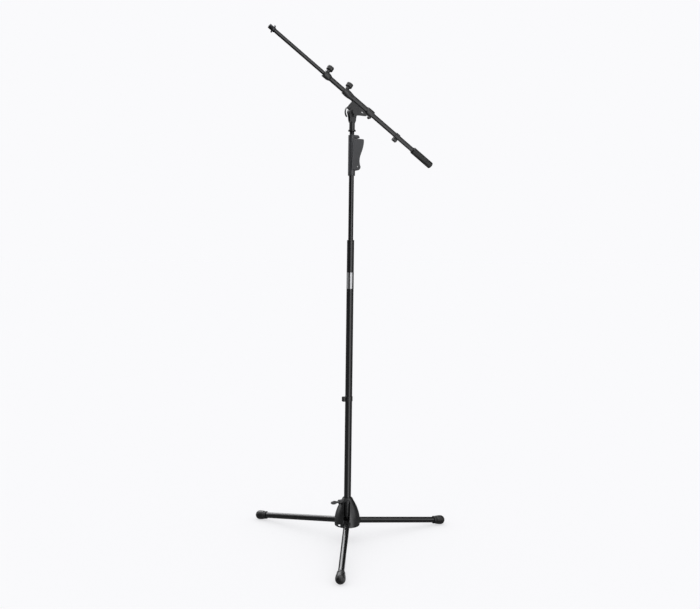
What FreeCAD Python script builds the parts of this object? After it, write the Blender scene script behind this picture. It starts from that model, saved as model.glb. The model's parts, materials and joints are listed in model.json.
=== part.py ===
"""Boom microphone stand with a folding tripod base and a one-hand height grip.

Millimetres, +Z up. The origin is on the floor under the pole's axis. The stand is symmetric
about the XZ plane: the microphone end of the boom points to -X and up, its tail to +X.
"""
import FreeCAD
import Part
import math
import os

os.makedirs("parts", exist_ok=True)

V = FreeCAD.Vector
ORIGIN = V(0, 0, 0)
AX, AY, AZ = V(1, 0, 0), V(0, 1, 0), V(0, 0, 1)

# ---- Tubes and fits -------------------------------------------------------------------
tube_wall = 1.2
lower_tube_r = 12.0          # 24 mm pole tube
upper_tube_r = 8.5           # 17 mm tube that telescopes in it
leg_tube_r = 10.2            # 20.4 mm leg tube
boom_outer_r = 8.0           # 16 mm boom tube
boom_inner_r = 6.35          # 12.7 mm extension tube
mic_thread_r = 7.9375        # 5/8 inch stand thread, over its crests
fit = 0.05                   # radial clearance of running and seated fits
gap = 0.4                    # clearance between pieces that move past each other
screw_r = 3.0                # clamp screws and leg pins

# ---- Base -----------------------------------------------------------------------------
leg_count = 3
foot_reach = 384.0           # pole axis to the middle of each foot
foot_r = 16.0                # rubber foot: its ball, neck, groove and rear lip
foot_neck_r = 14.3
foot_groove_r = 12.2
foot_lip_r = 13.6
foot_length = 31.5           # behind the ball's middle
leg_tilt = 8.0               # degrees below level
leg_pin_reach = 29.0         # pole axis to each leg's pin
heel_length = 14.0
heel_half = 5.0
leg_end_half = 9.0           # half the width of the leg's pivot casting
hub_r = 44.0
hub_rim_r = 43.0
hub_skirt = 12.0             # rim below the pins
hub_rise = 83.0              # top of the hub above the pins
hub_wall = 3.0
hub_neck_r = 16.0
hub_sleeve_wall = 1.5
cheek_r = 15.0
cheek_wall = 4.3
slot_half = 10.75
disc_r = 18.0
disc_thick = 5.0
plug_spigot = 25.0
window_r = 4.0               # rounded openings in the skirt between the legs
window_half = 2.5            # their straight half-width
window_rise = 8.0            # above the rim
window_turn = 38.0           # degrees back from each leg
clamp_drop = 12.0            # clamp screw below the hub's top
clamp_boss_r = 7.5
clamp_boss_reach = 34.0
paddle_length = 24.0
paddle_half_height = 6.0
paddle_thick = 5.0

# ---- Pole -----------------------------------------------------------------------------
lower_tube_top = 1031.0
upper_tube_engaged = 470.0   # length of the upper tube inside the lower one
bush_length = 40.0
label_drop = 107.0           # tube's top to the label's top
label_height = 55.0
label_azimuth = 242.0
label_half_angle = 85.0
label_thick = 0.15
clip_height = 16.0
clip_wall = 2.4
pole_clip_wall = 1.4         # its ring round the pole
clip_bore_r = 4.6            # cable held by the C-shaped clips
clip_mouth = 6.0
pole_clip_mid = 492.0

# ---- Grip and release -----------------------------------------------------------------
grip_low = 1249.0
grip_length = 135.0
grip_r = 12.0
hood_reach = 24.0
hood_height = 9.5
trigger_pivot_x = 15.5
trigger_pivot_rise = 30.0    # above the grip's lower end
trigger_end_r = 12.5
trigger_half = 14.4
trigger_wall = 2.1
trigger_top_rise = 123.0
trigger_reach = 39.5
trigger_wrap = -7.0          # rear edge of the shroud's sides, behind the pole's axis
trigger_pin_r = 2.0
arm_half = 4.0
rod_r = 2.5
brake_length = 30.0
brake_cone_length = 20.0
spring_length = 30.0
spring_wire = 1.0

# ---- Swivel head ----------------------------------------------------------------------
stud_length = 12.0           # thread between the grip and the yoke's skirt
lock_ring_r = 12.5
lock_ring_height = 5.0
yoke_stem_r = 9.4
yoke_stem_height = 22.0
pivot_z = 1459.0
ear_r = 15.0
ear_half = 10.0              # half the fork's outside width
web_half = 4.0
washer_thick = 0.95
bolt_r = 4.0
lever_reach = 28.0
lever_drop = 12.0            # degrees below level
lever_root = 17.0            # how far the lever's underside starts below the pivot
lever_half = 4.5             # half the lever's width at its tip

# ---- Boom, measured along its axis from the foot of the perpendicular through the pivot --
boom_rise = 33.4             # degrees above level
boom_lift = 40.0             # pivot to boom axis
bracket_front = 67.0
bracket_rear = -66.0
barrel_r = 9.8
collar_r = 12.8
knob_station = 58.0
lug_r = 5.5                  # round lug under the clamp's rear collar
knob_r = 11.5
knob_height = 13.5
knob_lift = 19.8             # boom axis to the underside of a knob
knob_collar_r = 5.8
guard_r = 27.0               # arc of the bracket's front rib about the pivot
guard_angle = 72.0
web_lean = 5.0               # how far the front rib leans back at the barrel
web_hole_r = 4.0
clutch_front = 155.0
clutch_length = 29.0
clutch_r = 12.0
outer_tail = -346.0
inner_rear = -60.0
inner_front = 362.0
adapter_length = 23.0        # thread beyond the end of the inner tube
wing_station = 366.0
wing_height = 5.5
wing_span = 13.7
boom_clip_mid = -181.0
tail_grip_front = -257.0
tail_grip_r = 12.0
tail_grip_length = 93.0


def save(name, *solids):
    """Writes one node, as a solid or as a group of separate solids."""
    shape = solids[0] if len(solids) == 1 else Part.makeCompound(list(solids))
    shape.exportStep("parts/" + name + ".step")


def rod(radius, start, end):
    return Part.makeCylinder(radius, (end - start).Length, start, end - start)


def pipe(outer, inner, start, end):
    return rod(outer, start, end).cut(rod(inner, start, end))


def block(low, high):
    size = V(*high) - V(*low)
    return Part.makeBox(size.x, size.y, size.z, V(*low))


def turned(outline, axis_point, axis):
    """Solid of revolution of a closed list of edges or points."""
    if isinstance(outline[0], FreeCAD.Vector):
        wire = Part.makePolygon(outline + [outline[0]])
    else:
        wire = Part.Wire(outline)
    return Part.makeSolid(Part.Face(wire).revolve(axis_point, axis, 360))


def line(a, b):
    return Part.LineSegment(a, b).toShape()


def arc(a, b, c):
    return Part.Arc(a, b, c).toShape()


def curve(points):
    spline = Part.BSplineCurve()
    spline.interpolate(points)
    return spline.toShape()


def bezier(poles):
    shape = Part.BezierCurve()
    shape.setPoles(poles)
    return shape.toShape()


def slab(edges, half):
    """Outline in the XZ plane, thickened to +/-half along Y."""
    face = Part.Face(Part.Wire(edges))
    face.translate(V(0, -half, 0))
    return face.extrude(V(0, 2 * half, 0))


def round_edges(solid, radius, wanted):
    """Fillets the edges that the test picks by their middle point."""
    chosen = [e for e in solid.Edges if wanted(e.CenterOfMass)]
    return solid.makeFillet(radius, chosen) if chosen else solid


def around(shape, azimuth):
    copy = shape.copy()
    copy.rotate(ORIGIN, AZ, azimuth)
    return copy


# ---- Derived places of the base -------------------------------------------------------
tilt = math.radians(leg_tilt)
leg_length = (foot_reach - leg_pin_reach) / math.cos(tilt)
pin_z = foot_r + leg_length * math.sin(tilt)
rim_z = pin_z - hub_skirt
hub_top = pin_z + hub_rise
disc_top = pin_z + (leg_pin_reach - disc_r) * math.tan(tilt) - heel_half / math.cos(tilt) - gap / 2
heel_clear_z = pin_z + cheek_r + 3
sleeve_bore_r = lower_tube_r + fit
sleeve_r = sleeve_bore_r + hub_sleeve_wall
clamp_z = hub_top - clamp_drop
window_z = rim_z + window_rise
leg_azimuths = [360.0 / leg_count * k for k in range(leg_count)]


def hub_dome(inset):
    """Solid bell of the hub, drawn in by the wall thickness for its inside."""
    radius = hub_r - inset
    shoulder = V(radius, 0, pin_z)
    rim = V(hub_rim_r - inset, 0, rim_z - inset)
    crown = V(hub_neck_r - inset / 2, 0, hub_top - inset)
    bell = bezier([shoulder, V(radius, 0, pin_z + 0.41 * hub_rise),
                   V(0.68 * radius, 0, pin_z + 0.71 * hub_rise), crown])
    outline = [line(V(0, 0, rim.z), rim), line(rim, shoulder), bell,
               line(crown, V(0, 0, crown.z)), line(V(0, 0, crown.z), V(0, 0, rim.z))]
    return turned(outline, ORIGIN, AZ)


def hub_parts():
    """Moulded hub, its pole sleeve, the clamp pad and the pins that carry the legs."""
    bell = hub_dome(0)
    housing = bell.cut(hub_dome(hub_wall))
    neck = rod(hub_neck_r, V(0, 0, heel_clear_z), V(0, 0, hub_top))
    boss = rod(clamp_boss_r, V(-hub_neck_r + 2, 0, clamp_z), V(-clamp_boss_reach, 0, clamp_z))
    housing = housing.fuse([neck, boss])
    centre = rod(disc_r + 2.5, V(0, 0, 0), V(0, 0, heel_clear_z))
    slot_in = leg_pin_reach - leg_tube_r - 1
    wall_out = slot_half + hub_wall
    for azimuth in leg_azimuths:
        for side in (-1, 1):
            near, far = sorted((side * slot_half, side * wall_out))
            wall = block((hub_neck_r - 2, near, rim_z), (hub_r, far, hub_top)).common(bell)
            housing = housing.fuse(around(wall.cut(centre), azimuth))
    for azimuth in leg_azimuths:
        slot = block((slot_in, -slot_half, 0), (2 * hub_r, slot_half, hub_top + 1))
        housing = housing.cut(around(slot, azimuth))
    pins = []
    for azimuth in leg_azimuths:
        for side in (-1, 1):
            inner = side * (leg_end_half + gap)
            outer = side * (leg_end_half + gap + cheek_wall)
            cheek = rod(cheek_r, V(leg_pin_reach, inner, pin_z), V(leg_pin_reach, outer, pin_z))
            housing = housing.fuse(around(cheek.cut(centre), azimuth))
        span = leg_end_half + gap + cheek_wall
        ends = V(leg_pin_reach, -span, pin_z), V(leg_pin_reach, span, pin_z)
        housing = housing.cut(around(rod(screw_r + fit, *ends), azimuth))
        pins.append(around(rod(screw_r, *ends), azimuth))
        ends = V(hub_r - 8, -window_half, window_z), V(hub_r + 5, -window_half, window_z)
        window = rod(window_r, *ends).fuse(block((hub_r - 8, -window_half, window_z - window_r),
                                                 (hub_r + 5, window_half, window_z + window_r)))
        window = window.fuse(rod(window_r, ends[0] + AY * 2 * window_half,
                                 ends[1] + AY * 2 * window_half))
        housing = housing.cut(around(window, azimuth - window_turn))
    housing = housing.cut(rod(sleeve_r + fit, V(0, 0, heel_clear_z - 1), V(0, 0, hub_top + 1)))
    housing = housing.cut(rod(screw_r + fit, V(0, 0, clamp_z),
                              V(-clamp_boss_reach - 1, 0, clamp_z)))
    sleeve = pipe(sleeve_r, sleeve_bore_r, V(0, 0, heel_clear_z), V(0, 0, hub_top + 1.5))
    sleeve = sleeve.cut(rod(screw_r + 2 * fit, V(0, 0, clamp_z), V(-sleeve_r - 1, 0, clamp_z)))
    pad = rod(screw_r, V(-lower_tube_r - fit, 0, clamp_z), V(-lower_tube_r - 2, 0, clamp_z))
    pad = pad.cut(rod(sleeve_bore_r, V(0, 0, clamp_z - 5), V(0, 0, clamp_z + 5)))
    save("hub_housing", housing.removeSplitter())
    save("hub_sleeve", sleeve)
    save("clamp_pad", pad)
    save("leg_pins", *pins)


def thumb_screw():
    """Clamp screw with a flat oval paddle for the thumb."""
    tip = -lower_tube_r - 2 - fit
    paddle_in = clamp_boss_reach + 6
    middle = V(-paddle_in - paddle_length / 2, 0, clamp_z)
    oval = Part.Ellipse(middle, paddle_length / 2, paddle_half_height)
    wire = Part.Wire(oval.toShape())
    wire.rotate(middle, AX, 90)
    face = Part.Face(wire)
    face.translate(V(0, -paddle_thick / 2, 0))
    paddle = face.extrude(V(0, paddle_thick, 0))
    paddle = paddle.makeFillet(paddle_thick * 0.4, paddle.Edges[:1] + paddle.Edges[-1:])
    shank = rod(screw_r, V(tip, 0, clamp_z), V(-paddle_in - 8, 0, clamp_z))
    collar = Part.makeCone(4.4, 3.2, 8, V(-clamp_boss_reach - gap, 0, clamp_z), V(-1, 0, 0))
    save("thumb_screw", paddle.fuse([shank, collar]).removeSplitter())


def place_leg(shape, azimuth):
    """Sets a leg drawn along +X from its pin onto the hub."""
    copy = shape.copy()
    copy.rotate(ORIGIN, AY, leg_tilt)
    copy.translate(V(leg_pin_reach, 0, pin_z))
    copy.rotate(ORIGIN, AZ, azimuth)
    return copy


def leg_parts():
    """Three legs: pivot casting, tube and rubber foot."""
    shoulder = 18.0
    tube_end = leg_length - 8
    eye = rod(leg_end_half, V(0, -leg_end_half, 0), V(0, leg_end_half, 0))
    heel = block((-heel_length, -leg_end_half, -heel_half), (0, leg_end_half, heel_half))
    heel = round_edges(heel, 3, lambda c: c.x < -heel_length + 0.1 and abs(c.z) < 0.1)
    stem = block((0, -leg_end_half, -leg_end_half + 0.5),
                 (shoulder, leg_end_half, leg_end_half - 0.5))
    spigot = rod(leg_tube_r - tube_wall - fit, V(shoulder, 0, 0), V(shoulder + 32, 0, 0))
    casting = eye.fuse([heel, stem, spigot]).removeSplitter()
    casting = casting.cut(rod(screw_r + fit, V(0, -leg_end_half, 0), V(0, leg_end_half, 0)))
    tube = pipe(leg_tube_r, leg_tube_r - tube_wall, V(shoulder, 0, 0), V(tube_end, 0, 0))
    end = leg_length
    ball = arc(V(end + foot_r, 0, 0), V(end + foot_r * 0.7071, 0, foot_r * 0.7071),
               V(end, 0, foot_r))
    neck, lip = end - 0.65 * foot_length, end - 0.76 * foot_length
    rear = end - foot_length
    taper = curve([V(end, 0, foot_r), V(end - 8, 0, foot_r - 0.3), V(neck, 0, foot_neck_r)])
    corners = [V(neck, 0, foot_neck_r), V(neck - 0.5, 0, foot_groove_r),
               V(lip + 0.5, 0, foot_groove_r), V(lip, 0, foot_lip_r - 0.3),
               V(lip - 0.5, 0, foot_lip_r), V(rear + 0.5, 0, foot_lip_r),
               V(rear, 0, foot_lip_r - 0.5), V(rear, 0, 0), V(end + foot_r, 0, 0)]
    sides = [line(a, b) for a, b in zip(corners, corners[1:])]
    foot = turned([ball, taper] + sides, ORIGIN, AX)
    foot = foot.cut(rod(leg_tube_r + fit, V(rear - 1, 0, 0), V(tube_end + fit, 0, 0)))
    for number, azimuth in enumerate(leg_azimuths, start=1):
        save("leg_end_%d" % number, place_leg(casting, azimuth))
        save("leg_tube_%d" % number, place_leg(tube, azimuth))
        save("leg_foot_%d" % number, place_leg(foot, azimuth))


def cable_clip(tube_r, ring_wall):
    """Snap-on clip about the Z axis, from z=0, with its C-shaped cable seat towards -X."""
    seat_r = clip_bore_r + clip_wall
    seat_x = -(tube_r + ring_wall + clip_bore_r + 0.4)
    top = V(0, 0, clip_height)
    ring = rod(tube_r + ring_wall, ORIGIN, top)
    seat = rod(seat_r, V(seat_x, 0, 0), V(seat_x, 0, clip_height))
    neck = block((seat_x, -3.2, 0), (-tube_r, 3.2, clip_height))
    clip = ring.fuse([seat, neck])
    clip = clip.cut(rod(clip_bore_r, V(seat_x, 0, 0), V(seat_x, 0, clip_height)))
    clip = clip.cut(rod(tube_r + fit, ORIGIN, top))
    mouth = block((seat_x - 2 * seat_r, -clip_mouth / 2, 0), (seat_x, clip_mouth / 2, clip_height))
    return clip.cut(mouth).removeSplitter()


def lower_pole_parts():
    """Lower tube with its end plug, top bush, cable clip and blank label."""
    low, top = V(0, 0, disc_top), V(0, 0, lower_tube_top)
    bore = lower_tube_r - tube_wall
    save("lower_tube", pipe(lower_tube_r, bore, low, top))
    disc = rod(disc_r, V(0, 0, disc_top - disc_thick), low)
    disc = round_edges(disc, 1.2, lambda c: c.z < disc_top - 0.1)
    save("pole_end_plug", disc.fuse(rod(bore - fit, low, V(0, 0, disc_top + plug_spigot))))
    bush_low = V(0, 0, lower_tube_top - bush_length)
    bush = rod(bore - fit, bush_low, top).fuse(rod(lower_tube_r, top, top + V(0, 0, 2.5)))
    bush = bush.removeSplitter()
    save("tube_bush", bush.cut(rod(upper_tube_r + fit, bush_low, top + V(0, 0, 3))))
    clip = cable_clip(lower_tube_r, pole_clip_wall)
    clip.translate(V(0, 0, pole_clip_mid - clip_height / 2))
    save("pole_clip", clip)
    label_high = top - V(0, 0, label_drop)
    label_low = label_high - V(0, 0, label_height)
    skin = Part.makeCylinder(lower_tube_r + label_thick, label_height, label_low, AZ,
                             2 * label_half_angle)
    skin = skin.cut(rod(lower_tube_r, label_low, label_high))
    save("pole_label", around(skin, label_azimuth - label_half_angle))


# ---- Derived places of the grip -------------------------------------------------------
grip_high = grip_low + grip_length
upper_tube_low = lower_tube_top - upper_tube_engaged
upper_tube_high = grip_high - 4
upper_bore_r = upper_tube_r - tube_wall
trigger_z = grip_low + trigger_pivot_rise
trigger_pivot = V(trigger_pivot_x, 0, trigger_z)
arm_slot = block((0, -arm_half - 0.5, trigger_z - 9), (30, arm_half + 0.5, trigger_z + 8))
brake_low = upper_tube_low - brake_length
brake_spigot = 15.0
spring_low = upper_tube_low + brake_spigot
stud_top = grip_high + stud_length + yoke_stem_height - 4


def grip_housing():
    """Moulded grip: a round column with a hood over the trigger and lugs for its pin."""
    column = rod(grip_r, V(0, 0, grip_low), V(0, 0, grip_high))
    hood_low = grip_high - hood_height
    hood = slab([line(V(0, 0, hood_low), V(hood_reach, 0, hood_low)),
                 arc(V(hood_reach, 0, hood_low),
                     V(hood_reach - 2.4, 0, hood_low + 0.7 * hood_height),
                     V(hood_reach - hood_height, 0, grip_high)),
                 line(V(hood_reach - hood_height, 0, grip_high), V(0, 0, grip_high)),
                 line(V(0, 0, grip_high), V(0, 0, hood_low))], grip_r - 0.2)
    body = column.fuse(hood).removeSplitter()
    body = round_edges(body, 1.5, lambda c: c.z > hood_low + 0.5 * hood_height)
    for side in (-1, 1):
        inner, outer = sorted((side * (arm_half + 1.5), side * (grip_r - 0.8)))
        eye = rod(5.5, V(trigger_pivot_x, inner, trigger_z), V(trigger_pivot_x, outer, trigger_z))
        root = block((5, inner, trigger_z - 5.5), (trigger_pivot_x, outer, trigger_z + 5.5))
        body = body.fuse([eye, root])
    body = body.cut(rod(upper_tube_r + fit, V(0, 0, grip_low - 1), V(0, 0, upper_tube_high)))
    body = body.cut(rod(upper_bore_r, V(0, 0, grip_low), V(0, 0, grip_high + 1)))
    body = body.cut(arm_slot)
    ends = V(trigger_pivot_x, -grip_r, trigger_z), V(trigger_pivot_x, grip_r, trigger_z)
    save("grip_housing", body.cut(rod(trigger_pin_r + fit, *ends)).removeSplitter())


def trigger_outline(inset):
    """Side outline of the trigger, drawn in by the wall for its hollow."""
    x, z, r = trigger_pivot_x, trigger_z, trigger_end_r - inset
    top = grip_low + trigger_top_rise - inset
    front = trigger_reach - inset
    rise = trigger_top_rise - trigger_pivot_rise
    waist = [V(x + r, 0, z + 1), V(x + r - 3.9, 0, z + 0.19 * rise),
             V(x + r - 2.2, 0, z + 0.36 * rise), V(front - 5.8, 0, z + 0.60 * rise),
             V(front - 0.9, 0, z + 0.80 * rise), V(front, 0, top - 4)]
    rear = trigger_wrap if inset == 0 else trigger_wrap - 20
    corner = 4.0
    start, low = V(rear, 0, z - r + corner), V(x, 0, z - r)
    inner_corner = V(rear + 0.29 * corner, 0, z - r + 0.29 * corner)
    bottom = [arc(start, inner_corner, V(rear + corner, 0, low.z)),
              line(V(rear + corner, 0, low.z), low),
              arc(low, V(x + r * 0.7071, 0, z - r * 0.7071), V(x + r, 0, z))]
    return bottom + [line(V(x + r, 0, z), waist[0]), curve(waist),
                     arc(waist[-1], V(front - 1.2, 0, top - 1.2), V(front - 4, 0, top)),
                     line(V(front - 4, 0, top), V(rear + 4, 0, top)),
                     line(V(rear + 4, 0, top), start)]


def ordered(edges):
    return Part.__sortEdges__(edges)


def trigger_parts():
    """Trigger shroud with its inner arm, and the pin it turns on."""
    shroud = slab(ordered(trigger_outline(0)), trigger_half)
    front = [e for e in shroud.Edges if abs(abs(e.CenterOfMass.y) - trigger_half) < 0.01
             and e.CenterOfMass.x > trigger_pivot_x + 4]
    shroud = shroud.makeFillet(trigger_wall * 1.6, front)
    flange_in = trigger_half - trigger_wall
    shroud = shroud.cut(slab(ordered(trigger_outline(trigger_wall)), flange_in))
    column = rod(flange_in, V(0, 0, grip_low), V(0, 0, grip_high))
    top_open = block((-30, -flange_in, trigger_z + 40), (hood_reach - 1, flange_in, grip_high))
    rear_open = block((-30, -flange_in, grip_low), (1, flange_in, grip_high))
    shroud = shroud.cut(column).cut(top_open).cut(rear_open)
    eye = rod(6, trigger_pivot - V(0, arm_half, 0), trigger_pivot + V(0, arm_half, 0))
    bar = block((-3, -arm_half, trigger_z - 4), (trigger_pivot_x + 10.8, arm_half, trigger_z + 3))
    body = shroud.fuse([eye, bar])
    ends = trigger_pivot - V(0, trigger_half, 0), trigger_pivot + V(0, trigger_half, 0)
    body = body.cut(rod(trigger_pin_r + fit, *ends))
    save("trigger", body.removeSplitter())
    save("trigger_pin", rod(trigger_pin_r, *ends))


def upper_pole_parts():
    """Upper tube with the brake collet at its foot and the threaded stud on the grip."""
    tube = pipe(upper_tube_r, upper_bore_r, V(0, 0, upper_tube_low), V(0, 0, upper_tube_high))
    save("upper_tube", tube.cut(arm_slot))
    bore = lower_tube_r - tube_wall
    collet = rod(bore - fit, V(0, 0, brake_low), V(0, 0, upper_tube_low))
    collet = collet.fuse(rod(upper_bore_r - fit, V(0, 0, upper_tube_low), V(0, 0, spring_low)))
    collet = collet.removeSplitter()
    collet = collet.cut(Part.makeCone(8.0, 3.4, brake_cone_length, V(0, 0, brake_low), AZ))
    collet = collet.cut(rod(rod_r + 0.3, V(0, 0, brake_low), V(0, 0, spring_low)))
    split = block((-20, -0.8, brake_low), (20, 0.8, brake_low + 24))
    save("brake_collet", collet.cut(split))
    head_top = trigger_z - 4 - gap / 2
    rods = rod(rod_r, V(0, 0, brake_low + 5), V(0, 0, head_top))
    cone = Part.makeCone(7.4, 2.8, brake_cone_length, V(0, 0, brake_low - 1), AZ)
    seat_z = spring_low + spring_length
    seat = rod(5.6, V(0, 0, seat_z), V(0, 0, seat_z + 3))
    head = rod(5.2, V(0, 0, head_top - 4), V(0, 0, head_top))
    save("release_rod", rods.fuse([cone, seat, head]).removeSplitter())
    mean_r = 4.5
    turns = 8
    sides = 8
    rise = spring_length - 2 * spring_wire
    helix = Part.Wire(Part.makeHelix(rise / turns, rise, mean_r).Edges)
    corners = [V(mean_r + spring_wire / 2 * math.cos(2 * math.pi * k / sides), 0,
                 spring_wire / 2 * math.sin(2 * math.pi * k / sides)) for k in range(sides)]
    section = Part.makePolygon(corners + corners[:1])
    coil = helix.makePipeShell([section], True, True)
    coil.translate(V(0, 0, spring_low + spring_wire))
    save("release_spring", coil)
    thread = rod(mic_thread_r, V(0, 0, grip_high), V(0, 0, stud_top))
    root = rod(upper_bore_r - fit, V(0, 0, grip_high - 26), V(0, 0, grip_high))
    save("swivel_stud", thread.fuse(root).removeSplitter())


# ---- Derived places of the head -------------------------------------------------------
skirt_z = grip_high + stud_length
stem_low = skirt_z + lock_ring_height
stem_high = stem_low + yoke_stem_height
pivot = V(0, 0, pivot_z)
fork_floor = pivot_z - guard_r - 3.5


def yoke_parts():
    """Swivel yoke on the stud, its lock ring, and the pivot's bolt and friction washers."""
    stem = rod(yoke_stem_r, V(0, 0, stem_low), V(0, 0, stem_high))
    top_left, top_right = V(-ear_r, 0, pivot_z), V(ear_r, 0, pivot_z)
    low_left, low_right = V(-yoke_stem_r, 0, stem_high), V(yoke_stem_r, 0, stem_high)
    waist = 0.45 * pivot_z + 0.55 * stem_high
    narrow = yoke_stem_r + 0.18 * (ear_r - yoke_stem_r)
    ears = slab([curve([low_left, V(-narrow, 0, waist), top_left]),
                 arc(top_left, V(0, 0, pivot_z + ear_r), top_right),
                 curve([top_right, V(narrow, 0, waist), low_right]),
                 line(low_right, low_left)], ear_half)
    flare = Part.makeCone(yoke_stem_r, 2 * ear_half, 20, V(0, 0, stem_high), AZ)
    flare = flare.fuse(rod(2 * ear_half, V(0, 0, stem_high + 20), V(0, 0, pivot_z + 20)))
    yoke = stem.fuse(ears.common(flare)).removeSplitter()
    slot_in = web_half + fit + washer_thick
    yoke = yoke.cut(block((-30, -slot_in, fork_floor), (30, slot_in, pivot_z + 20)))
    yoke = yoke.cut(rod(mic_thread_r + fit, V(0, 0, stem_low), V(0, 0, stud_top + 1)))
    yoke = yoke.cut(rod(bolt_r + fit, pivot - V(0, 20, 0), pivot + V(0, 20, 0)))
    save("yoke", yoke)
    washers = []
    for side in (-1, 1):
        ends = V(0, side * (web_half + fit), pivot_z), V(0, side * slot_in, pivot_z)
        washers.append(pipe(ear_r - 0.5, bolt_r + fit, *ends))
    save("friction_washers", *washers)
    shank = rod(bolt_r, V(0, -ear_half - 6, pivot_z), V(0, ear_half, pivot_z))
    corners = [V(7.5 * math.cos(math.radians(60 * k)), ear_half,
                 pivot_z + 7.5 * math.sin(math.radians(60 * k))) for k in range(7)]
    head = Part.Face(Part.makePolygon(corners)).extrude(V(0, 4.5, 0))
    save("pivot_bolt", shank.fuse(head))
    ring = pipe(lock_ring_r, mic_thread_r + fit, V(0, 0, skirt_z), V(0, 0, stem_low - gap / 2))
    for k in range(24):
        groove = rod(0.5, V(lock_ring_r + 0.1, 0, skirt_z), V(lock_ring_r + 0.1, 0, stem_low))
        ring = ring.cut(around(groove, 15 * k))
    save("lock_ring", ring)


def tension_lever():
    """Lever nut that clamps the pivot, on the -Y side."""
    hub_in, hub_out = -ear_half - gap / 2, -ear_half - 8
    hub = rod(7.5, V(0, hub_in, pivot_z), V(0, hub_out, pivot_z))
    angle = math.radians(lever_drop)
    tip = V(lever_reach * math.cos(angle), 0, pivot_z - lever_reach * math.sin(angle))
    along = V(math.cos(angle), 0, -math.sin(angle))
    across = V(math.sin(angle), 0, math.cos(angle))
    a, b = pivot + across * 6.5, tip + across * lever_half
    c, d = tip - across * lever_half, pivot - across * lever_root
    hollow = (c + d) * 0.5 + across * 2
    face = Part.Face(Part.Wire([line(a, b), arc(b, tip + along * lever_half, c),
                                curve([c, hollow, d]), line(d, a)]))
    face.translate(V(0, hub_out + 1, 0))
    arm = face.extrude(V(0, 4.5, 0))
    lever = hub.fuse(arm).removeSplitter()
    lever = lever.cut(rod(bolt_r + fit, V(0, hub_in + 1, pivot_z), V(0, -ear_half - 6.2, pivot_z)))
    save("tension_lever", lever)


def place_boom(shape):
    """Sets a piece drawn with the boom along +X and the pivot at the origin onto the yoke."""
    copy = shape.copy()
    copy.rotate(ORIGIN, AZ, 180)
    copy.rotate(ORIGIN, AY, boom_rise)
    copy.translate(pivot)
    return copy


def station(x, lift=0.0):
    return V(x, 0, boom_lift + lift)


def boom_rod(radius, start, end):
    return rod(radius, station(start), station(end))


def boom_turned(points):
    """Solid of revolution about the boom's axis from (station, radius) points."""
    outline = [station(points[0][0])] + [station(x, r) for x, r in points]
    return turned(outline + [station(points[-1][0])], station(0), AX)


def knob(x):
    """Fluted clamp knob with its screw, reaching down to the boom tube."""
    low = station(x, knob_lift)
    top = low + V(0, 0, knob_height)
    head = round_edges(rod(knob_r, low, top), 1.6, lambda c: abs(c.z - low.z) < 0.1
                       or abs(c.z - top.z) < 0.1)
    for k in range(8):
        angle = math.radians(45 * k)
        side = V(math.cos(angle), math.sin(angle), 0) * (knob_r + 1.4)
        head = head.cut(rod(2.4, low + side, top + side))
    screw = rod(screw_r, station(x, boom_outer_r + fit), low + V(0, 0, 1))
    collar = rod(knob_collar_r, station(x, knob_lift - 2.4), low)
    return head.fuse([screw, collar]).removeSplitter()


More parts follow.
